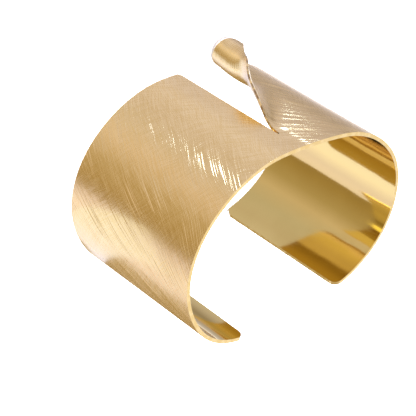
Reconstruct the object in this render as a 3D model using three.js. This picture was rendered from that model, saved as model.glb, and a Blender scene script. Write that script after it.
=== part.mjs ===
// Cuff bracelet: one piece of sheet, bent to an oval that is open on one side.
// It lies on its side. The axis of the oval is Z, and the back rim rests on z = 0.
// The opening faces +Y. The decorated side faces -Y: there a slit runs in from the
// back rim, and the corner on one side of the slit is rolled outwards.
// Millimetres throughout.

import * as THREE from 'three';

// The sheet
const SHEET = 0.85;          // thickness
const WIDTH = 34.5;          // from rim to rim
const SOFT = 0.12;           // broken arris all round the cut edge
const END_RADIUS = 2.0;      // corners beside the opening
const MOUTH_RADIUS = 1.0;    // corners beside the mouth of the slit

// The oval, from the middle of the decorated side to each end of the sheet.
// Each row is one arc at mid-thickness: its length and its radius.
const ARCS_PLUS_X = [
  [7.85, 99],
  [20.4, 23.5],
  [17.6, 19.3],
  [11.7, 25.7],
  [15.55, 19.7],
];
const ARCS_MINUS_X = [
  [9.3, 99],
  [20.4, 29.7],
  [17.6, 20.2],
  [11.7, 16.2],
  [10.6, 21],
];

// The slit
const SLIT_LENGTH = 28.5;
const SLIT_PLUS = 3.7;       // its two edges, measured along the sheet
const SLIT_MINUS = 3.3;

// The rolled corner, at equal steps from the slit's inner end to the back rim.
// start: how far from the slit the sheet leaves the oval
// length: length of the rolled band from there to its free edge
// turn: how far the band has turned outwards at its free edge, in degrees
const ROLL = {
  start: [0, 10.2, 17.4, 15.3, 17],
  length: [0, 9.7, 16.6, 13.7, 17.8],
  turn: [0, 49, 70, 140, 222],
};
const ROLL_EASE_IN = 0.8;    // share of the band over which the bend builds up
const ROLL_LIP = 0.3;        // share of the band over which it relaxes at the edge
const ROLL_LIP_BEND = 0.4;   // bend left at the free edge
const ROLL_RISE = 2.7;       // how far the corner is drawn up from the back rim

// Facets
const ARC_STEP = 1.7;
const ROLL_STEP = 1.1;
const ROLL_ROWS = 16;
const CORNER_STEPS = 5;

const smooth = (x) => {
  const c = Math.min(Math.max(x, 0), 1);
  return c * c * (3 - 2 * c);
};

// A smooth curve through equally spaced values, read at a share from 0 to 1.
function through(values, share) {
  const last = values.length - 1;
  const place = Math.min(Math.max(share, 0), 1) * last;
  const i = Math.min(Math.floor(place), last - 1);
  const t = place - i;
  const b = values[i];
  const c = values[i + 1];
  const a = i > 0 ? values[i - 1] : 2 * b - c;
  const d = i + 2 <= last ? values[i + 2] : 2 * c - b;
  const cubic = 3 * (b - c) + d - a;
  const square = 2 * a - 5 * b + 4 * c - d;
  return b + 0.5 * t * (c - a + t * (square + t * cubic));
}

// Point and heading of the oval at mid-thickness. u runs along the sheet from the
// middle of the decorated side; heading 0 points to +X.
function oval(u) {
  const side = u < 0 ? -1 : 1;
  const arcs = u < 0 ? ARCS_MINUS_X : ARCS_PLUS_X;
  let left = Math.abs(u);
  let x = 0;
  let y = 0;
  let turned = 0;
  arcs.forEach(([length, radius], i) => {
    const run = i === arcs.length - 1 ? left : Math.min(left, length);
    const next = turned + run / radius;
    x += radius * (Math.sin(next) - Math.sin(turned));
    y += radius * (Math.cos(turned) - Math.cos(next));
    turned = next;
    left -= run;
  });
  return { x: side * x, y, heading: side * turned };
}

const halfLength = (arcs) => arcs.reduce((sum, [length]) => sum + length, 0);
const END_PLUS = halfLength(ARCS_PLUS_X);
const END_MINUS = -halfLength(ARCS_MINUS_X);

// How sharply the rolled band bends, from 0 at its free edge to 1 where it starts.
function bend(x) {
  const lip = ROLL_LIP_BEND + (1 - ROLL_LIP_BEND) * smooth(x / ROLL_LIP);
  return lip * (1 - smooth((x - (1 - ROLL_EASE_IN)) / ROLL_EASE_IN));
}
const BEND_STEPS = 60;
let bendTotal = 0;
for (let i = 0; i < BEND_STEPS; i += 1) {
  bendTotal += bend((i + 0.5) / BEND_STEPS) / BEND_STEPS;
}

// Where a point of the flat sheet lies once the bracelet is bent.
function bent(u, z) {
  const share = (SLIT_LENGTH - z) / SLIT_LENGTH;
  const start = share > 0 ? through(ROLL.start, share) : 0;
  const from = SLIT_MINUS - start;
  if (u > (SLIT_PLUS + SLIT_MINUS) / 2 || u <= from || start < 0.01) {
    const at = oval(u);
    return new THREE.Vector3(at.x, at.y, z);
  }
  const turn = THREE.MathUtils.degToRad(through(ROLL.turn, share));
  const stretch = through(ROLL.length, share) / start;
  const step = (u - from) / BEND_STEPS;
  const at = oval(from);
  let bentShare = 0;
  let { x, y } = at;
  for (let i = 0; i < BEND_STEPS; i += 1) {
    const middle = from + (i + 0.5) * step;
    const here = bend((SLIT_MINUS - middle) / start) * (step / start) / bendTotal;
    const heading = oval(middle).heading - turn * (bentShare + here / 2);
    bentShare += here;
    x += Math.cos(heading) * step * stretch;
    y += Math.sin(heading) * step * stretch;
  }
  const rise = ROLL_RISE * share ** 3 * ((u - from) / start) ** 3;
  return new THREE.Vector3(x, y, z + rise);
}

// A point at a height above mid-thickness, towards the outside of the bracelet.
function onSheet(u, z, height) {
  const d = 0.02;
  const rolled = u < (SLIT_PLUS + SLIT_MINUS) / 2 && z < SLIT_LENGTH;
  const uHigh = rolled && u < SLIT_MINUS ? Math.min(u + d, SLIT_MINUS + SOFT) : u + d;
  const alongU = bent(uHigh, z).sub(bent(u - d, z));
  const alongZ = bent(u, z + d).sub(bent(u, z - d));
  const out = alongU.cross(alongZ).normalize();
  return bent(u, z).addScaledVector(out, height);
}

// The flat blank as columns across the sheet. Each column is a place along the
// sheet and the places of its points between the two rims, all kept SOFT inside
// the cut edge, where the broken arris starts.
const column = (u, zs) => ({ u, zs });

function evenly(from, to, step) {
  const count = Math.max(1, Math.ceil(Math.abs(to - from) / step - 1e-9));
  return Array.from({ length: count + 1 }, (_, i) => from + ((to - from) * i) / count);
}

// Corner of the given radius: how far in along the sheet, and how far up its rim is.
function corner(radius, steps) {
  const r = radius - SOFT;
  return Array.from({ length: steps + 1 }, (_, i) => {
    const angle = (Math.PI / 2) * (i / steps);
    return { along: SOFT + r * (1 - Math.cos(angle)), up: SOFT + r * (1 - Math.sin(angle)) };
  });
}

function rows(low, high, count) {
  return Array.from({ length: count + 1 }, (_, i) => low + ((high - low) * i) / count);
}

const plainTop = WIDTH - SOFT;
const ending = corner(END_RADIUS, CORNER_STEPS);
const mouth = corner(MOUTH_RADIUS, 3);
const rollWidest = Math.max(...ROLL.start) + 1;

const minusSide = [
  ...ending.map((c) => column(END_MINUS + c.along, [c.up, WIDTH - c.up])),
  ...evenly(END_MINUS + END_RADIUS, SLIT_MINUS - rollWidest, ARC_STEP)
    .slice(1)
    .map((u) => column(u, [SOFT, plainTop])),
  ...evenly(SLIT_MINUS - rollWidest, SLIT_MINUS - MOUTH_RADIUS, ROLL_STEP)
    .slice(1)
    .map((u) => column(u, [...rows(SOFT, SLIT_LENGTH + SOFT, ROLL_ROWS), plainTop])),
  ...[...mouth]
    .reverse()
    .slice(1)
    .map((c) => column(SLIT_MINUS - c.along, [...rows(c.up, SLIT_LENGTH + SOFT, ROLL_ROWS), plainTop])),
];
const plusSide = [
  ...mouth.map((c) => column(SLIT_PLUS + c.along, [c.up, SLIT_LENGTH + SOFT, plainTop])),
  ...evenly(SLIT_PLUS + MOUTH_RADIUS, END_PLUS - END_RADIUS, ARC_STEP)
    .slice(1)
    .map((u) => column(u, [SOFT, plainTop])),
  ...[...ending]
    .reverse()
    .slice(1)
    .map((c) => column(END_PLUS - c.along, [c.up, WIDTH - c.up])),
];

// Points of the flat blank, and triangles between neighbouring columns.
const flat = [];
const triangles = [];
function addColumn(col) {
  return col.zs.map((z) => flat.push({ u: col.u, z }) - 1);
}
function addStrip(left, right) {
  let i = 0;
  let j = 0;
  while (i < left.length - 1 || j < right.length - 1) {
    const canLeft = i < left.length - 1;
    const canRight = j < right.length - 1;
    const shareLeft = canLeft ? (i + 1) / (left.length - 1) : 2;
    const shareRight = canRight ? (j + 1) / (right.length - 1) : 2;
    if (shareLeft <= shareRight) {
      triangles.push([left[i], right[j], left[i + 1]]);
      i += 1;
    } else {
      triangles.push([left[i], right[j], right[j + 1]]);
      j += 1;
    }
  }
}
const minusIds = minusSide.map(addColumn);
const plusIds = plusSide.map(addColumn);
minusIds.slice(1).forEach((ids, i) => addStrip(minusIds[i], ids));
plusIds.slice(1).forEach((ids, i) => addStrip(plusIds[i], ids));

// Beyond the slit's inner end the two sides are one sheet.
const innerEndMinus = minusIds.at(-1).slice(-2);
const innerEndPlus = plusIds[0].slice(-2);
addStrip(innerEndMinus, innerEndPlus);

// The cut edge, once round the blank.
const outline = [
  ...minusIds.map((ids) => ids[0]),
  ...minusIds.at(-1).slice(1, -1),
  ...plusIds[0].slice(0, -1).reverse(),
  ...plusIds.slice(1).map((ids) => ids[0]),
  ...[...plusIds].reverse().map((ids) => ids.at(-1)),
  ...[...minusIds].reverse().map((ids) => ids.at(-1)),
];

// Four rings of points along the cut edge, from the outer face to the inner face.
const positions = [];
const addPoint = (p) => positions.push(p) - 1;
const outer = flat.map(({ u, z }) => addPoint(onSheet(u, z, SHEET / 2)));
const inner = flat.map(({ u, z }) => addPoint(onSheet(u, z, -SHEET / 2)));
const edge = outline.map((id, i) => {
  const before = flat[outline.at(i - 1)];
  const after = flat[outline[(i + 1) % outline.length]];
  const here = flat[id];
  const first = new THREE.Vector2(here.z - before.z, before.u - here.u).normalize();
  const second = new THREE.Vector2(after.z - here.z, here.u - after.u).normalize();
  const outward = first.add(second);
  outward.multiplyScalar((2 * SOFT) / outward.lengthSq());
  const u = here.u + outward.x;
  const z = here.z + outward.y;
  const height = SHEET / 2 - SOFT;
  return [addPoint(onSheet(u, z, height)), addPoint(onSheet(u, z, -height))];
});

const faces = [];
triangles.forEach(([a, b, c]) => {
  faces.push([outer[a], outer[b], outer[c]]);
  faces.push([inner[a], inner[c], inner[b]]);
});
outline.forEach((id, i) => {
  const next = (i + 1) % outline.length;
  const here = [outer[id], ...edge[i], inner[id]];
  const then = [outer[outline[next]], ...edge[next], inner[outline[next]]];
  for (let k = 0; k < 3; k += 1) {
    faces.push([here[k], here[k + 1], then[k + 1]]);
    faces.push([here[k], then[k + 1], then[k]]);
  }
});

const shape = new THREE.BufferGeometry();
shape.setAttribute('position', new THREE.Float32BufferAttribute(positions.flatMap((p) => [p.x, p.y, p.z]), 3));
shape.setIndex(faces.flat());
shape.computeBoundingBox();
const middle = shape.boundingBox.getCenter(new THREE.Vector3());
shape.translate(-middle.x, -middle.y, -shape.boundingBox.min.z);
shape.computeVertexNormals();

const brass = new THREE.MeshStandardMaterial({ color: 0xd9b070, metalness: 1, roughness: 0.35 });
const cuff = new THREE.Mesh(shape, brass);
cuff.name = 'cuff';

const bracelet = new THREE.Group();
bracelet.name = 'cuff_bracelet';
bracelet.add(cuff);

export default bracelet;
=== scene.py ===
# %% [markdown]
# # A brushed brass cuff, bent from one sheet
# This lesson builds the looks of an open cuff bracelet around its packed CAD body.
# The real one is cut flat from brass sheet and then gold-plated. Its corners are rounded,
# a slit is sawn in from one rim, the sheet is bent to an oval, and the corner beside the
# slit is rolled outwards with pliers. We follow the same order here: cut flat, then bend.
# Everything is in metres, in the same frame as the CAD: +Z is the axis of the oval, the
# slit is on the -Y side and the opening on the +Y side.

# %% Load the packed body
import math

import bmesh
import bpy
from mathutils import Matrix, Vector


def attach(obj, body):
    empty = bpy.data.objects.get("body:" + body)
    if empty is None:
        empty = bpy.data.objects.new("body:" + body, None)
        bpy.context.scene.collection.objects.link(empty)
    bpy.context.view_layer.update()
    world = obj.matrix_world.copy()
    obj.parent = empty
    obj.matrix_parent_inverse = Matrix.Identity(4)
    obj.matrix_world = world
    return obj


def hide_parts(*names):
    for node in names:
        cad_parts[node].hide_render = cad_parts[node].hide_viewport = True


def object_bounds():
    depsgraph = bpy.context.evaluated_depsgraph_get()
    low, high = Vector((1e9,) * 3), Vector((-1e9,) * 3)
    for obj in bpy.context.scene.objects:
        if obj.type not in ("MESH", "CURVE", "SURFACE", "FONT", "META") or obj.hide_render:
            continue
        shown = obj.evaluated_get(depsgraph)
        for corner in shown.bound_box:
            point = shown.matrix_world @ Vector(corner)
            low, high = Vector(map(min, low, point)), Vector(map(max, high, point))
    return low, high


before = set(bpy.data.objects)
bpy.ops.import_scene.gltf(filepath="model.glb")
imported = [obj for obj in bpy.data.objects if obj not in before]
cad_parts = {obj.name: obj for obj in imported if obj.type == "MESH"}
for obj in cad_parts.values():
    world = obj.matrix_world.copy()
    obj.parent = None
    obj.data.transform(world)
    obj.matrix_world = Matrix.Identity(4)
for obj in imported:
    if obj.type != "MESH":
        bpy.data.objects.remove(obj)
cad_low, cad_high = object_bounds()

MM = 0.001
print("CAD size in mm:", [round(side / MM, 1) for side in cad_high - cad_low])

# %% [markdown]
# ## The camera
# A long lens from some way off keeps the near rim from swelling. The bracelet stands on
# its back rim, and the camera looks down at it at 34 degrees, turned on its side, so
# that the oval seems to lean towards us. A camera, like a lamp, looks along its own -Z,
# so its turn is a matrix whose columns are its right, its up and its backward direction.

# %% Camera
CAMERA_PLACE = Vector((205.42, -147.69, 184.61)) * MM
CAMERA_RIGHT = Vector((-0.70912, -0.15847, 0.68705))
CAMERA_UP = Vector((-0.25916, -0.84763, -0.46300))


def aim(thing, place, right, up):
    """Puts a camera or a lamp at a place, with its own right and up directions."""
    right = right.normalized()
    up = (up - right * up.dot(right)).normalized()
    turn = Matrix((right, up, right.cross(up))).transposed()
    thing.matrix_world = Matrix.Translation(place) @ turn.to_4x4()


camera_data = bpy.data.cameras.new("camera")
camera_data.sensor_width = 36
camera_data.lens = 126.07
camera_data.clip_start = 0.01
camera = bpy.data.objects.new("camera", camera_data)
bpy.context.scene.collection.objects.link(camera)
bpy.context.scene.camera = camera
aim(camera, CAMERA_PLACE, CAMERA_RIGHT, CAMERA_UP)
print("camera", round(CAMERA_PLACE.length / MM), "mm from the bracelet")

# %% [markdown]
# ## The flat blank
# The blank is a strip about 143 mm long and 34.5 mm wide. Along the strip runs `u`,
# measured from the middle of the decorated side, and across it runs `z`. The oval is a
# chain of arcs, as a maker bends it over a few round stakes, so the lengths of the arcs
# add up to the length of the strip. A grid gives the strip enough points to bend later.

# %% Sizes of the strip
SHEET = 0.85 * MM
WIDTH = 34.5 * MM
# One row for each arc from the middle of the decorated side to an end of the sheet, in
# millimetres: its length and its radius at mid-thickness.
ARCS_PLUS_X = [(7.85, 99), (20.4, 23.5), (17.6, 19.3), (11.7, 25.7), (15.55, 19.7)]
ARCS_MINUS_X = [(9.3, 99), (20.4, 29.7), (17.6, 20.2), (11.7, 16.2), (10.6, 21)]
END_PLUS = sum(length for length, _ in ARCS_PLUS_X) * MM
END_MINUS = -sum(length for length, _ in ARCS_MINUS_X) * MM
LENGTH = END_PLUS - END_MINUS
print("the strip is", round(LENGTH / MM, 1), "mm long")

# %% A strip of square cells
CELL = 0.6 * MM

blank = bmesh.new()
columns, rows = round(LENGTH / CELL), round(WIDTH / CELL)
bmesh.ops.create_grid(blank, x_segments=columns, y_segments=rows, size=0.5)
bmesh.ops.scale(blank, vec=(LENGTH, WIDTH, 1), verts=blank.verts)
strip_middle = ((END_PLUS + END_MINUS) / 2, WIDTH / 2, 0)
bmesh.ops.translate(blank, vec=strip_middle, verts=blank.verts)
print("the strip has", columns, "x", rows, "cells")

# %% [markdown]
# ## The saw cut
# A jeweller drills or marks the end of the slit and saws up to it from the rim. A boolean
# could take the saw's path out of a finished solid, but it leaves long thin triangles.
# On a flat blank it is cleaner to cut the grid along the three sides of the path, and
# to delete the faces between them.

# %% Saw the slit
SLIT_LENGTH = 28.5 * MM
SLIT_PLUS = 3.7 * MM
SLIT_MINUS = 3.3 * MM

saw_lines = (
    ((SLIT_PLUS, 0, 0), (1, 0, 0)),
    ((SLIT_MINUS, 0, 0), (1, 0, 0)),
    ((0, SLIT_LENGTH, 0), (0, 1, 0)),
)
for place, across in saw_lines:
    everything = blank.verts[:] + blank.edges[:] + blank.faces[:]
    bmesh.ops.bisect_plane(blank, geom=everything, dist=1e-7, plane_co=place, plane_no=across)
sawn = []
for face in blank.faces:
    u, z, _ = face.calc_center_median()
    if SLIT_MINUS < u < SLIT_PLUS and z < SLIT_LENGTH:
        sawn.append(face)
print("the saw takes away", len(sawn), "faces")
bmesh.ops.delete(blank, geom=sawn, context="FACES")

# %% [markdown]
# ## Rounded corners
# A file rounds every corner that could scratch. Here each corner is filed by a few
# straight cuts that touch its arc one after another, and each cut clears what lies
# outside it. Only the faces near the corner are cut, so that the rest keeps its grid.

# %% Round the corners
END_RADIUS = 2.0 * MM
MOUTH_RADIUS = 1.0 * MM
CORNER_CUTS = 9
CORNER_REACH = 1.6


def near(blank, tip, into, reach):
    """The geometry near a corner, on the side that into points to."""
    faces = []
    for face in blank.faces:
        away = face.calc_center_median() - tip
        if away.length < reach and away.x * into[0] > 0:
            faces.append(face)
    edges = {edge for face in faces for edge in face.edges}
    points = {point for face in faces for point in face.verts}
    return faces + list(edges) + list(points)


def round_corner(blank, tip, into, radius):
    """Rounds one corner of the blank. into points from the tip to the arc's centre."""
    centre = tip + Vector((into[0] * radius, into[1] * radius, 0))
    for cut in range(1, CORNER_CUTS + 1):
        angle = math.pi / 2 * cut / (CORNER_CUTS + 1)
        out = Vector((-into[0] * math.cos(angle), -into[1] * math.sin(angle), 0))
        bmesh.ops.bisect_plane(
            blank,
            geom=near(blank, tip, into, radius * CORNER_REACH),
            dist=1e-7,
            plane_co=centre + out * radius,
            plane_no=out,
            clear_outer=True,
        )


round_corner(blank, Vector((END_PLUS, 0, 0)), (-1, 1), END_RADIUS)
round_corner(blank, Vector((END_PLUS, WIDTH, 0)), (-1, -1), END_RADIUS)
round_corner(blank, Vector((END_MINUS, 0, 0)), (1, 1), END_RADIUS)
round_corner(blank, Vector((END_MINUS, WIDTH, 0)), (1, -1), END_RADIUS)
round_corner(blank, Vector((SLIT_PLUS, 0, 0)), (1, 1), MOUTH_RADIUS)
round_corner(blank, Vector((SLIT_MINUS, 0, 0)), (-1, 1), MOUTH_RADIUS)
print("the blank has", len(blank.faces), "faces")

# %% [markdown]
# ## The flat map
# Brush marks run along the sheet and keep their size however it is bent. So the flat
# place of each point is kept in a UV map before bending, in millimetres. An unwrap
# after bending would only guess at it.

# %% Keep the flat place of each point
flat_map = blank.loops.layers.uv.new("sheet")
for face in blank.faces:
    for corner in face.loops:
        corner[flat_map].uv = (corner.vert.co.x / MM, corner.vert.co.y / MM)
print("the flat map spans", round(LENGTH / MM, 1), "x", WIDTH / MM, "mm")

# %% [markdown]
# ## Bending the oval
# A curve modifier could bend the strip along a path, but it stretches the cells where
# the path's points are uneven. Walking the arcs is exact: a place along the strip turns
# into a point and a heading, and every length on the sheet stays true.


# %% The oval
def oval(u):
    """Point and heading of the oval, where heading 0 points to +X."""
    side, arcs = (-1, ARCS_MINUS_X) if u < 0 else (1, ARCS_PLUS_X)
    left, x, y, turned = abs(u), 0.0, 0.0, 0.0
    for i, (length, radius) in enumerate(arcs):
        run = left if i == len(arcs) - 1 else min(left, length * MM)
        ahead = turned + run / (radius * MM)
        x += radius * MM * (math.sin(ahead) - math.sin(turned))
        y += radius * MM * (math.cos(turned) - math.cos(ahead))
        turned, left = ahead, left - run
    return side * x, y, side * turned


gap = Vector(oval(END_PLUS)[:2]) - Vector(oval(END_MINUS)[:2])
print("the opening is", round(gap.length / MM, 1), "mm wide")

# %% [markdown]
# ## The rolled corner
# Pliers grip the corner beside the slit and wind it outwards. From where it leaves the
# oval, the heading turns outwards, more and more towards the back rim. Three short rows
# say how, at equal steps from the inner end of the slit to the rim: where the roll
# starts, how long it is from there to the slit, and how far it turns. A smooth curve
# through each row gives the steps between.

# %% Sizes of the roll
# Lengths are in millimetres and turns in degrees.
ROLL_START = (0, 10.2, 17.4, 15.3, 17)
ROLL_LENGTH = (0, 9.7, 16.6, 13.7, 17.8)
ROLL_TURN = (0, 49, 70, 140, 222)
ROLL_RISE = 2.7 * MM
BEND_STEPS = 60


def smooth(x):
    """An even rise from 0 to 1, flat at both ends."""
    x = min(max(x, 0), 1)
    return x * x * (3 - 2 * x)


def through(values, share):
    """A smooth curve through equally spaced values, read at a share from 0 to 1."""
    last = len(values) - 1
    place = min(max(share, 0), 1) * last
    i = min(int(place), last - 1)
    t = place - i
    b, c = values[i], values[i + 1]
    a = values[i - 1] if i else 2 * b - c
    d = values[i + 2] if i + 2 <= last else 2 * c - b
    return b + 0.5 * t * (c - a + t * (2 * a - 5 * b + 4 * c - d + t * (3 * (b - c) + d - a)))


print("halfway up the slit the roll turns", round(through(ROLL_TURN, 0.5)), "degrees")

# %% [markdown]
# Sheet springs back, and the last few millimetres hardly bend, because the pliers hold
# them. So the bend eases in from the oval and eases off again towards the free lip.

# %% How the roll shares out its bend
ROLL_EASE_IN = 0.8
ROLL_LIP = 0.3
ROLL_LIP_BEND = 0.4


def bend(x):
    """How sharply the rolled band bends, from 0 at its free edge to 1 at its start."""
    lip = ROLL_LIP_BEND + (1 - ROLL_LIP_BEND) * smooth(x / ROLL_LIP)
    return lip * (1 - smooth((x - 1 + ROLL_EASE_IN) / ROLL_EASE_IN))


BEND_TOTAL = sum(bend((i + 0.5) / BEND_STEPS) for i in range(BEND_STEPS)) / BEND_STEPS
print("mean sharpness of the bend:", round(BEND_TOTAL, 3))


# %% Bend one point
def roll_share(z):
    """How far down the slit a height is: 0 at its inner end, 1 at the back rim."""
    return (SLIT_LENGTH - z) / SLIT_LENGTH


def bent(u, z):
    """Where a point of the flat sheet lies once the bracelet is bent."""
    share = roll_share(z)
    start = through(ROLL_START, share) * MM if share > 0 else 0
    begin = SLIT_MINUS - start
    if u > (SLIT_PLUS + SLIT_MINUS) / 2 or u <= begin or start < 0.01 * MM:
        x, y, _ = oval(u)
        return x, y, z
    turn = math.radians(through(ROLL_TURN, share))
    stretch = through(ROLL_LENGTH, share) * MM / start
    step = (u - begin) / BEND_STEPS
    x, y, _ = oval(begin)
    turned = 0.0
    for i in range(BEND_STEPS):
        middle = begin + (i + 0.5) * step
        here = bend((SLIT_MINUS - middle) / start) * (step / start) / BEND_TOTAL
        heading = oval(middle)[2] - turn * (turned + here / 2)
        turned += here
        x += math.cos(heading) * step * stretch
        y += math.sin(heading) * step * stretch
    return x, y, z + ROLL_RISE * share**3 * ((u - begin) / start) ** 3


lip = Vector(bent(SLIT_MINUS, MOUTH_RADIUS))
print("the roll's lip ends up at", [round(part / MM, 1) for part in lip], "mm")

# %% [markdown]
# ## Bend the blank
# Two numbers are kept at each point while it is bent. `rolled` says how much of it
# belongs to the roll, for the finish. The first vertex group says how much of the sheet's
# thickness is left: winding and filing thin the lip along the slit.

# %% Bend every point
LIP_WIDTH = 1.2 * MM
LIP_THINNED = 0.5
LIP_FADE = 1 / 8
ROLLED_FADE = 1 / 3

rolled = blank.verts.layers.float.new("rolled")
full = blank.verts.layers.deform.verify()
for point in blank.verts:
    u, z = point.co.x, point.co.y
    share = roll_share(z)
    point[full][0] = 1.0
    if share > 0 and u < (SLIT_PLUS + SLIT_MINUS) / 2:
        start = through(ROLL_START, share) * MM
        if start > 0.01 * MM:
            point[rolled] = smooth(((u - SLIT_MINUS) / start + 1) / ROLLED_FADE)
        lip_share = smooth((u - SLIT_MINUS) / LIP_WIDTH + 1) * smooth(share / LIP_FADE)
        point[full][0] = 1 - LIP_THINNED * lip_share
    point.co = bent(u, z)
print("bent", len(blank.verts), "points")

# %% Centre it and make the object
# The frame's origin is the middle of the bracelet's box at the height of the back rim.
OVAL_CENTRE = Vector((-2.3484, 18.1463, 0)) * MM
bmesh.ops.translate(blank, vec=-OVAL_CENTRE, verts=blank.verts)
bmesh.ops.recalc_face_normals(blank, faces=blank.faces)

cuff_mesh = bpy.data.meshes.new("brushed_cuff")
blank.to_mesh(cuff_mesh)
blank.free()
cuff = bpy.data.objects.new("brushed_cuff", cuff_mesh)
bpy.context.scene.collection.objects.link(cuff)
cuff.vertex_groups.new(name="full thickness")
cuff_mesh.shade_smooth()
front = min(cuff_mesh.polygons, key=lambda face: abs(face.center.x) + abs(face.center.y - cad_low.y))
print("outward normal of the decorated side:", tuple(round(n, 2) for n in front.normal))

# %% [markdown]
# ## Thickness and soft edges
# So far the sheet is a surface at mid-thickness. Solidify gives it its two faces and a
# cut edge, each with a material of its own. A cut edge is never left sharp, because it
# would scratch the skin, so Bevel breaks both of its arrises. Modifiers suit this well:
# they come after the bend, so the thickness stays even round the roll.

# %% Thickness and arrises
ARRIS = 0.13 * MM

wall = cuff.modifiers.new("sheet", "SOLIDIFY")
wall.thickness = SHEET
wall.vertex_group = "full thickness"
wall.offset = 0
wall.use_even_offset = True
wall.use_quality_normals = True
wall.material_offset = 1
wall.material_offset_rim = 2

edge = cuff.modifiers.new("broken arris", "BEVEL")
edge.width = ARRIS
edge.segments = 3
edge.limit_method = "ANGLE"
edge.angle_limit = math.radians(50)
edge.harden_normals = True
edge.material = 2
print("a sheet of", SHEET / MM, "mm with arrises of", ARRIS / MM, "mm")

# %% [markdown]
# ## The finish
# Gold plating takes whatever surface is under it. Outside, the brass was rubbed by hand
# with an abrasive pad in two main directions, which leaves a weave of fine strokes.
# Inside, and on the cut edge, it was polished. An image texture would repeat and go
# soft, so every mark here comes from noise nodes. A small class keeps a material's
# nodes together, and short functions build each kind of mark from them.


# %% A material and its nodes
class Pattern:
    """A metal's node tree, with short words for the nodes that its finish needs."""

    def __init__(self, name):
        self.material = bpy.data.materials.new(name)
        self.material.use_nodes = True
        self.tree = self.material.node_tree
        self.shader = self.tree.nodes["Principled BSDF"].inputs
        self.shader["Metallic"].default_value = 1
        self.sources = {}

    def node(self, kind, *values):
        """Makes a node and puts values or links into its first sockets."""
        made = self.tree.nodes.new(kind)
        for value, socket in zip(values, made.inputs):
            self.put(value, socket)
        return made

    def put(self, value, socket):
        """Links a node's output to a socket, or sets the socket to a value."""
        if isinstance(value, bpy.types.NodeSocket):
            self.tree.links.new(value, socket)
        else:
            socket.default_value = value

    def source(self, kind, field, name):
        """A node that reads the mesh, made only once."""
        if name not in self.sources:
            self.sources[name] = self.node(kind)
            setattr(self.sources[name], field, name)
        return self.sources[name].outputs

    def sheet(self):
        return self.source("ShaderNodeUVMap", "uv_map", "sheet")["UV"]

    def rolled(self):
        return self.source("ShaderNodeAttribute", "attribute_name", "rolled")["Fac"]

    def math(self, operation, *values):
        made = self.node("ShaderNodeMath", *values)
        made.operation = operation
        return made.outputs[0]

    def vector(self, operation, *values):
        made = self.node("ShaderNodeVectorMath", *values)
        made.operation = operation
        return made.outputs[0]

    def between(self, value, low, high, to_low=0.0, to_high=1.0):
        """Maps low..high to to_low..to_high with soft ends."""
        made = self.node("ShaderNodeMapRange", value, low, high, to_low, to_high)
        made.interpolation_type = "SMOOTHSTEP"
        return made.outputs["Result"]


print("a Pattern knows the words", [word for word in vars(Pattern) if word[0] != "_"])


# %% Noise on the flat sheet
def noise(p, where, detail=2.0):
    """Even noise from 0 to 1, with blobs about one unit wide."""
    made = p.node("ShaderNodeTexNoise")
    made.noise_dimensions = "2D"
    made.inputs["Scale"].default_value = 1
    made.inputs["Detail"].default_value = detail
    p.put(where, made.inputs["Vector"])
    return made.outputs[0]


def turned(p, where, degrees, along, across, seed):
    """Coordinates with one unit per `along` mm at an angle and per `across` mm beside it."""
    turn = p.node("ShaderNodeMapping", where)
    turn.inputs["Rotation"].default_value[2] = math.radians(-degrees)
    turn.inputs["Location"].default_value = (seed * 37.3, seed * 17.9, 0)
    size = p.node("ShaderNodeMapping", turn.outputs[0])
    size.inputs["Scale"].default_value = (1 / along, 1 / across, 1)
    return size.outputs[0]


def patches(p, size, seed, low=0.4, high=0.6):
    """Soft patches, where the hand pressed harder."""
    return p.between(noise(p, turned(p, p.sheet(), 0, size, size, seed)), low, high)


print("noise is laid out over", round(LENGTH / MM, 1), "x", WIDTH / MM, "units, one to a millimetre")

# %% [markdown]
# ### Strokes
# A stroke is noise that is stretched along its own direction, so each layer turns the
# flat map, then scales it by one over the stroke's length and one over its width. A hand
# doesn't rub in straight lines, so the flat map first wavers a little. The strokes are
# far finer than a screen can show, and a Bump node loses such slopes. Tilting the normal
# by the slope itself, in the sheet's own directions, keeps them at any distance.

# %% Strokes and the tilt they give
WAVER = 3.0
WAVER_SIZE = 18.0


def wavering(p):
    """The flat map, pushed about a little."""
    made = p.node("ShaderNodeTexNoise")
    made.noise_dimensions = "2D"
    made.inputs["Scale"].default_value = 1 / WAVER_SIZE
    made.inputs["Detail"].default_value = 0
    p.put(p.sheet(), made.inputs["Vector"])
    return p.vector("MULTIPLY_ADD", made.outputs["Color"], (WAVER, WAVER, 0), p.sheet())


def tilt(p, strokes):
    """Tilts the surface across each stroke: pairs of a stroke's angle and its slope."""
    slope = (0, 0, 1)
    for degrees, steepness in strokes:
        angle = math.radians(degrees)
        slope = p.vector("MULTIPLY_ADD", steepness, (-math.sin(angle), math.cos(angle), 0), slope)
    unit = p.vector("NORMALIZE", slope)
    packed = p.vector("MULTIPLY_ADD", unit, (0.5, 0.5, 0.5), (0.5, 0.5, 0.5))
    made = p.node("ShaderNodeNormalMap")
    made.uv_map = "sheet"
    p.put(packed, made.inputs["Color"])
    p.put(made.outputs[0], p.shader["Normal"])


def tinted(p, amount, dark, light):
    """A colour between two others."""
    made = p.node("ShaderNodeMix")
    made.data_type = "RGBA"
    p.put(amount, made.inputs["Factor"])
    p.put(dark, made.inputs[6])
    p.put(light, made.inputs[7])
    return made.outputs[2]


print("strokes waver by", WAVER, "mm in", WAVER_SIZE, "mm")

# %% [markdown]
# ### The weave
# Four layers of shallow strokes cross each other: two strong ones that come and go in
# patches, and two faint ones 14 degrees off. A few deep scratches lie along the main
# directions, where the pad bit. Each is made by one steep flank, which flashes white
# where it faces the strobe. They are put only where such flashes should show, and left
# out beside the slit, because there they would mirror the roll in orange.

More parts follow.
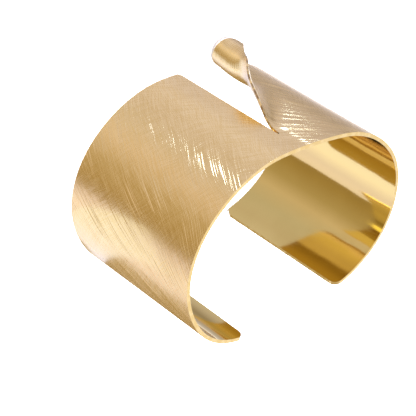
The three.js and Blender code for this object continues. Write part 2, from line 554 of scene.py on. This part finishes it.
# %% The hand-rubbed surface
# Angles are in degrees from the strip's length, and lengths in millimetres.
RISING, FALLING = 52, -38
ASKEW = 14
FINE_SLOPE = math.tan(math.radians(2.1))
DEEP_SLOPE = math.tan(math.radians(26))
SCRATCH_LENGTH, SCRATCH_WIDTH = 16.0, 0.14
SCRATCH_FROM, SCRATCH_FULL = 0.68, 0.75
RISING_FADES_IN = (8.0, 17.0)
FALLING_FADES_IN = (4.0, 0.0)
MATT = (0.22, 0.32)
FLANK_POLISH = -0.13
# Noise seldom strays more than this from its middle.
NOISE_REACH = 0.25
# How light the weave is in its grooves and on its ridges.
GROOVE, RIDGE = 0.2, 0.8


def rubbed(p, wavy, share=1.0):
    """The weave of strokes: how light it looks, its roughness, and its layers' slopes."""
    light, glint, slopes = 0.5, 0.0, []
    # Each layer's angle, length, width, seed and strength.
    layers = (
        (RISING, 8.0, 0.16, 1, patches(p, 9, 5, 0.3, 0.6)),
        (FALLING, 8.0, 0.16, 2, patches(p, 7, 6, 0.3, 0.6)),
        (RISING + ASKEW, 6.0, 0.22, 3, 0.6),
        (FALLING + ASKEW, 8.0, 0.22, 4, 0.6),
    )
    for degrees, along, across, seed, strength in layers:
        stroke = noise(p, turned(p, wavy, degrees, along, across, seed))
        layer = p.math("MULTIPLY", p.math("SUBTRACT", stroke, 0.5), strength)
        light = p.math("ADD", layer, light)
        shown = p.math("MULTIPLY", layer, share)
        slopes.append((degrees, p.math("MULTIPLY", shown, FINE_SLOPE / NOISE_REACH)))
    u = p.node("ShaderNodeSeparateXYZ", p.sheet()).outputs["X"]
    scratches = (
        (RISING, 7, p.between(u, *RISING_FADES_IN)),
        (FALLING, 8, p.between(u, *FALLING_FADES_IN)),
    )
    for degrees, seed, where in scratches:
        scratch = noise(p, turned(p, wavy, degrees, SCRATCH_LENGTH, SCRATCH_WIDTH, seed), 0.0)
        flank = p.math("MULTIPLY", p.between(scratch, SCRATCH_FROM, SCRATCH_FULL), where)
        glint = p.math("ADD", glint, flank)
        shown = p.math("MULTIPLY", flank, share)
        slopes.append((degrees, p.math("MULTIPLY", shown, DEEP_SLOPE)))
    matt = p.math("MULTIPLY_ADD", glint, FLANK_POLISH, p.between(light, GROOVE, RIDGE, *MATT))
    return light, matt, slopes


print("fine strokes slope by", round(FINE_SLOPE, 3), "and deep ones by", round(DEEP_SLOPE, 2))

# %% [markdown]
# ### Brushed gold, outside
# The satin side is a metal of medium roughness. Its colour is painted a little deeper in
# the grooves than on the ridges, as painted shade for the light that bounces there twice.

# %% Brushed gold
SATIN = (0.99, 0.75, 0.31, 1)
# Painted shade: the deeper gold for the grooves of the weave and the hollows of the cut edge.
SATIN_PAINTED_SHADE = (0.90, 0.65, 0.23, 1)
SATIN_SPAN = (0.3, 0.7)

outside = Pattern("brushed_gold")
light, matt, slopes = rubbed(outside, wavering(outside))
outside.put(matt, outside.shader["Roughness"])
# Painted shade: the grooves of the weave get the deeper gold.
satin = tinted(outside, outside.between(light, *SATIN_SPAN), SATIN_PAINTED_SHADE, SATIN)
outside.put(satin, outside.shader["Base Color"])
tilt(outside, slopes)
cuff_mesh.materials.append(outside.material)
print(len(outside.tree.nodes), "nodes in", outside.material.name)

# %% [markdown]
# ### Polished gold, inside
# The inside is nearly a mirror, with a slight haze along the polishing direction and
# slow ripples left by the bending. The sheet's inner face comes outside on the roll,
# where it was rubbed like the rest, so `rolled` blends the two finishes.

# %% Polished gold
HAZE = (0.07, 0.11)
HAZE_ANGLE, HAZE_LENGTH, HAZE_WIDTH = 80, 12.0, 0.3
RIPPLE_SLOPE = 0.02
ROLL_STROKES = 0.4

inside = Pattern("polished_gold")
worn = inside.rolled()
wavy = wavering(inside)
light, matt, slopes = rubbed(inside, wavy, inside.math("MULTIPLY", worn, ROLL_STROKES))
fine_lines = noise(inside, turned(inside, wavy, HAZE_ANGLE, HAZE_LENGTH, HAZE_WIDTH, 10))
haze = inside.between(fine_lines, 0.4, 0.7, *HAZE)
roughness = inside.math("MULTIPLY_ADD", worn, inside.math("SUBTRACT", matt, haze), haze)
inside.put(roughness, inside.shader["Roughness"])
for degrees, size, seed in ((0, 9, 9), (90, 7, 12)):
    wave = noise(inside, turned(inside, inside.sheet(), 0, size, size, seed), 1.0)
    ripple = inside.math("MULTIPLY", inside.math("SUBTRACT", wave, 0.5), RIPPLE_SLOPE)
    slopes.append((degrees, ripple))
tilt(inside, slopes)
print(len(slopes), "layers of slopes inside")

# %% [markdown]
# The polished gold gets a deeper tint than the satin, with faint paler spots. One
# stretch near an end is given a paler gold as well, a painted highlight. That isn't known of
# the real metal: it only makes the card that is mirrored there bright enough beside its neighbours.

# %% Its colour
GOLD = (0.97, 0.76, 0.25, 1)
GOLD_DEEP = (0.76, 0.575, 0.165, 1)
PALE_SPOTS = 0.12
# Places along the strip, in millimetres, where the painted highlight fades in.
PAINTED_HIGHLIGHT_FROM_END = (-49.8, -47.5)
PAINTED_HIGHLIGHT_FROM_SLIT = (-26.0, -32.0)

u = inside.node("ShaderNodeSeparateXYZ", inside.sheet()).outputs["X"]
from_end = inside.between(u, *PAINTED_HIGHLIGHT_FROM_END)
from_slit = inside.between(u, *PAINTED_HIGHLIGHT_FROM_SLIT)
# Painted highlight: a paler gold on one stretch, to brighten the card mirrored there.
pale = inside.math("MULTIPLY", from_end, from_slit)
spots = inside.math("MULTIPLY", patches(inside, 12, 11), PALE_SPOTS)
polished = tinted(inside, inside.math("MAXIMUM", pale, spots), GOLD_DEEP, GOLD)
# Painted shade on the roll: the deeper gold in the grooves of its weave.
satin = tinted(inside, inside.between(light, GROOVE, RIDGE), SATIN_PAINTED_SHADE, SATIN)
inside.put(tinted(inside, worn, polished, satin), inside.shader["Base Color"])
cuff_mesh.materials.append(inside.material)
print(len(inside.tree.nodes), "nodes in", inside.material.name)

# %% [markdown]
# ### The cut edge
# The rims are filed and polished smooth. The lip of the roll is harder to reach, so saw
# and pliers probably left the small uneven facets there. The hollows of the facets are painted darker
# as shade: brown on the lip, deeper gold on the rims.
# The edge has no width in the flat map, so this finish reads Object coordinates
# instead, and its facets are large enough for a Bump node.

# %% Polished cut edge
# Painted shade: the brown for the hollows on the lip of the roll.
EDGE_SHADE_BROWN = (0.42, 0.27, 0.10, 1)
FACET_SIZE = 1.3 * MM
FACET_DEPTH = 0.35 * MM
RIM_SHARE = 0.04
EDGE_ROUGHNESS = (0.1, 0.2)
# Below HOLLOW the edge gets its painted shade, and above TOP the satin gold.
HOLLOW, TOP = 0.42, 0.62

cut_edge = Pattern("polished_edge_gold")
facets = cut_edge.node("ShaderNodeTexNoise")
facets.inputs["Scale"].default_value = 1 / FACET_SIZE
facets.inputs["Detail"].default_value = 2
cut_edge.put(cut_edge.node("ShaderNodeTexCoord").outputs["Object"], facets.inputs["Vector"])
marks = facets.outputs[0]
polish = cut_edge.between(marks, 0.3, 0.7, *EDGE_ROUGHNESS)
cut_edge.put(polish, cut_edge.shader["Roughness"])
# Painted shade in the hollows of the facets: brown on the roll's lip, deeper gold on the rims.
painted_shade_tint = tinted(cut_edge, cut_edge.rolled(), SATIN_PAINTED_SHADE, EDGE_SHADE_BROWN)
edge_tint = tinted(cut_edge, cut_edge.between(marks, HOLLOW, TOP), painted_shade_tint, SATIN)
cut_edge.put(edge_tint, cut_edge.shader["Base Color"])
relief_share = cut_edge.between(cut_edge.rolled(), 0, 1, RIM_SHARE, 1)
height = cut_edge.math("MULTIPLY", marks, relief_share)
relief = cut_edge.node("ShaderNodeBump")
relief.inputs["Distance"].default_value = FACET_DEPTH
cut_edge.put(height, relief.inputs["Height"])
cut_edge.put(relief.outputs[0], cut_edge.shader["Normal"])
cuff_mesh.materials.append(cut_edge.material)
print(len(cut_edge.tree.nodes), "nodes in", cut_edge.material.name)

# %% [markdown]
# ## The floor
# The floor is plain and pale. The walls of the bracelet are upright, so from above they
# mirror what is low around them, and a bare white floor would fill them with one flat
# tone. So the floor stays out of the reflections. It blocks no light either, because
# some of the lamps reach below it. It gives off a little light of its own, which washes
# out the shadow under the bracelet, as on a light table.

# %% Floor
FLOOR_GLOW = 0.3
FLOOR_GREY = (0.9, 0.9, 0.9, 1)
WHITE = (1, 1, 1, 1)


def plain(name, colour, glow_colour, glow):
    """A plain dull material that gives off some light."""
    material = bpy.data.materials.new(name)
    material.use_nodes = True
    shader = material.node_tree.nodes["Principled BSDF"].inputs
    shader["Base Color"].default_value = colour
    shader["Roughness"].default_value = 1.0
    shader["Specular IOR Level"].default_value = 0.0
    shader["Emission Color"].default_value = glow_colour
    shader["Emission Strength"].default_value = glow
    return material


def studio_object(name, shape, material):
    """Makes an object of the studio, which isn't part of the bracelet and blocks no light."""
    mesh = bpy.data.meshes.new(name)
    shape.to_mesh(mesh)
    shape.free()
    mesh.materials.append(material)
    made = bpy.data.objects.new(name, mesh)
    bpy.context.scene.collection.objects.link(made)
    made.visible_shadow = False
    return made


floor_shape = bmesh.new()
bmesh.ops.create_grid(floor_shape, x_segments=1, y_segments=1, size=3)
pale_floor = plain("pale_floor", FLOOR_GREY, WHITE, FLOOR_GLOW)
floor = studio_object("floor", floor_shape, pale_floor)
floor.visible_glossy = False
print("the floor is", floor.dimensions.x, "m wide")

# %% [markdown]
# ## The studio
# Metal shows little but its surroundings, so whoever lights it builds them: soft cards
# all round, with dark gaps between. Real cards would need dozens of objects. Here they
# are drawn in the world, as three ramps round the compass: what lies on the table, what
# stands round it, and what hangs above. Their tones were found by trying. The Standard
# view keeps the pale tones of the metal pale, where a film-like view would turn them grey.

# %% Directions round the bracelet
bpy.context.scene.view_settings.view_transform = "Standard"

world = bpy.data.worlds.new("studio")
bpy.context.scene.world = world
world.use_nodes = True
nodes, links = world.node_tree.nodes, world.node_tree.links

direction = nodes.new("ShaderNodeTexCoord").outputs["Generated"]
split = nodes.new("ShaderNodeSeparateXYZ")
links.new(direction, split.inputs[0])
compass = nodes.new("ShaderNodeMath")
compass.operation = "ARCTAN2"
links.new(split.outputs["Y"], compass.inputs[0])
links.new(split.outputs["X"], compass.inputs[1])
turn = nodes.new("ShaderNodeMath")
turn.operation = "MULTIPLY_ADD"
links.new(compass.outputs[0], turn.inputs[0])
turn.inputs[1].default_value = 1 / math.tau
turn.inputs[2].default_value = 0.5
print("the compass starts at -X and turns through -Y, +X and +Y")

# %% The cards
# Compass direction in degrees from +X towards +Y, and the light that comes from it.
STANDING_CARDS = (
    (-180, (0.50, 0.47, 0.60)),
    (-165, (0.38, 0.34, 0.38)),
    (-150, (0.66, 0.64, 1.00)),
    (-125, (0.80, 0.78, 1.16)),
    (-96, (0.68, 0.64, 0.90)),
    (-72, (0.67, 0.65, 0.90)),
    (-48, (0.76, 0.67, 0.82)),
    (-24, (0.55, 0.46, 0.40)),
    (2, (0.45, 0.34, 0.21)),
    (30, (0.32, 0.23, 0.14)),
    (45, (0.52, 0.46, 0.34)),
    (60, (0.48, 0.45, 0.36)),
    (90, (0.50, 0.39, 0.23)),
    (115, (0.41, 0.29, 0.13)),
    (135, (0.30, 0.19, 0.07)),
    (148, (2.6, 2.9, 3.4)),
    (158, (2.2, 2.4, 3.0)),
    (169, (0.70, 0.68, 0.88)),
    (179, (0.50, 0.47, 0.60)),
)
LYING_CARDS = (
    (-180, (0.50, 0.46, 0.56)),
    (-135, (0.58, 0.54, 0.72)),
    (-96, (0.70, 0.64, 0.85)),
    (-60, (1.05, 0.98, 1.20)),
    (-24, (0.62, 0.54, 0.50)),
    (0, (0.50, 0.40, 0.32)),
    (15, (0.52, 0.44, 0.40)),
    (32, (0.85, 0.90, 1.30)),
    (85, (1.10, 1.20, 2.00)),
    (120, (1.10, 1.20, 2.00)),
    (150, (0.60, 0.58, 0.80)),
    (179, (0.50, 0.46, 0.56)),
)
HANGING_CARDS = (
    (-180, (0.42, 0.42, 0.60)),
    (-150, (0.80, 0.78, 1.05)),
    (-100, (0.85, 0.80, 1.10)),
    (-50, (0.90, 0.80, 0.95)),
    (-25, (0.62, 0.54, 0.52)),
    (10, (0.48, 0.42, 0.40)),
    (60, (0.55, 0.48, 0.45)),
    (110, (0.60, 0.55, 0.58)),
    (142, (0.90, 0.88, 1.05)),
    (179, (0.42, 0.42, 0.60)),
)
BRIGHTEST = 3.4
# Heights at which one ring gives way to the next: -1 is straight down and 0 is level.
LYING_TO_STANDING = (-0.75, -0.66)
STANDING_TO_HANGING = (-0.15, 0.15)


def ring_of_cards(stops):
    """A ramp round the compass, from (direction, light) pairs."""
    ramp = nodes.new("ShaderNodeValToRGB")
    links.new(turn.outputs[0], ramp.inputs[0])
    elements = ramp.color_ramp.elements
    elements.remove(elements[-1])
    for i, (degrees, light) in enumerate(stops):
        place = degrees / 360 + 0.5
        element = elements.new(place) if i else elements[0]
        element.position = place
        element.color = (*(part / BRIGHTEST for part in light), 1)
    return ramp.outputs[0]


def over(below, above, heights):
    """One light below a pair of heights and another above it, with a soft step between."""
    rise = nodes.new("ShaderNodeMapRange")
    rise.interpolation_type = "SMOOTHSTEP"
    links.new(split.outputs["Z"], rise.inputs["Value"])
    rise.inputs["From Min"].default_value = heights[0]
    rise.inputs["From Max"].default_value = heights[1]
    mix = nodes.new("ShaderNodeMix")
    mix.data_type = "RGBA"
    links.new(rise.outputs[0], mix.inputs["Factor"])
    links.new(below, mix.inputs[6])
    links.new(above, mix.inputs[7])
    return mix.outputs[2]


low = over(ring_of_cards(LYING_CARDS), ring_of_cards(STANDING_CARDS), LYING_TO_STANDING)
all_round = over(low, ring_of_cards(HANGING_CARDS), STANDING_TO_HANGING)
links.new(all_round, nodes["Background"].inputs["Color"])
nodes["Background"].inputs["Strength"].default_value = BRIGHTEST
print(len(STANDING_CARDS) + len(LYING_CARDS) + len(HANGING_CARDS), "stops in three rings of cards")

# %% [markdown]
# ## Lamps
# The rings give the broad tones. Four area lamps add what a ring can't: a small strobe
# that sets off the deep scratches, a long card whose edges cross the walls at a slant
# because it stands close, a card that whitens the front rim, and an overhead box for the
# floor, which the metal doesn't mirror.


# %% Lamps
def area_lamp(name, size, watts, colour):
    """A rectangular lamp that isn't placed yet."""
    data = bpy.data.lights.new(name, "AREA")
    data.shape = "RECTANGLE"
    data.size, data.size_y = size
    data.energy = watts
    data.color = colour
    made = bpy.data.objects.new(name, data)
    bpy.context.scene.collection.objects.link(made)
    return made


def soft_box(name, azimuth, elevation, distance, size, watts, colour=(1, 1, 1)):
    """A square lamp at a compass direction and height, facing the bracelet."""
    around, up = math.radians(azimuth), math.radians(elevation)
    out = Vector((math.cos(around) * math.cos(up), math.sin(around) * math.cos(up), math.sin(up)))
    side = Vector((0, 0, 1)).cross(out)
    made = area_lamp(name, (size, size), watts, colour)
    aim(made, out * distance + Vector((0, 0, WIDTH / 2)), side, out.cross(side))
    return made


def card(name, centre, out, size, brightness, colour):
    """A lit card with its back towards out: its centre is in millimetres, its size in metres."""
    side = Vector((0, 0, 1)).cross(out)
    made = area_lamp(name, size, math.pi * size[0] * size[1] * brightness, colour)
    aim(made, Vector(centre) * MM, side, out.cross(side))
    return made


soft_box(
    "strobe", azimuth=-109, elevation=-6, distance=0.6, size=0.09, watts=0.45, colour=(0.31, 0.46, 1.0)
)
card(
    "long card",
    centre=(116, 120, -100),
    out=Vector((0.70, 0.72, 0)),
    size=(0.165, 0.24),
    brightness=1.2,
    colour=(0.45, 0.48, 1.0),
)
card(
    "rim card",
    centre=(-196, 153, 185),
    out=Vector((-0.656, 0.506, 0.56)),
    size=(0.2, 0.2),
    brightness=0.25,
    colour=(0.7, 0.75, 1.0),
)
overhead = soft_box("overhead", azimuth=0, elevation=89, distance=1.2, size=1.0, watts=45)
overhead.visible_glossy = False

# %% [markdown]
# ## A card on the table
# A sheet of white card lies beside the bracelet. It starts at the foot of the wall, so
# the wall mirrors it low down, in a wedge. It has to follow the curve of the wall, so it
# is a cut shape and not a rectangular lamp. Only reflections see it.

# %% Table card
CARD_HEIGHT = -0.5 * MM
# Corners of the card, in millimetres.
CARD_OUTLINE = ((31.7, 8.0), (60, 8.0), (60, 40.5), (34, 31), (20.3, 26.0), (26.4, 18.6))
CARD_LIGHT = (1.08, 1.16, 1.75, 1)
BLACK = (0, 0, 0, 1)

card_shape = bmesh.new()
corners = [card_shape.verts.new((x * MM, y * MM, CARD_HEIGHT)) for x, y in CARD_OUTLINE]
card_shape.faces.new(corners)
white_card = plain("white_card", BLACK, CARD_LIGHT, 1.0)
table_card = studio_object("table_card", card_shape, white_card)
table_card.visible_camera = False
table_card.visible_diffuse = False
print("a card of", len(CARD_OUTLINE), "sides beside the wall")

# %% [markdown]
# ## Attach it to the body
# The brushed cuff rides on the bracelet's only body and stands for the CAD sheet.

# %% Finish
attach(cuff, "root")
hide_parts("cuff")
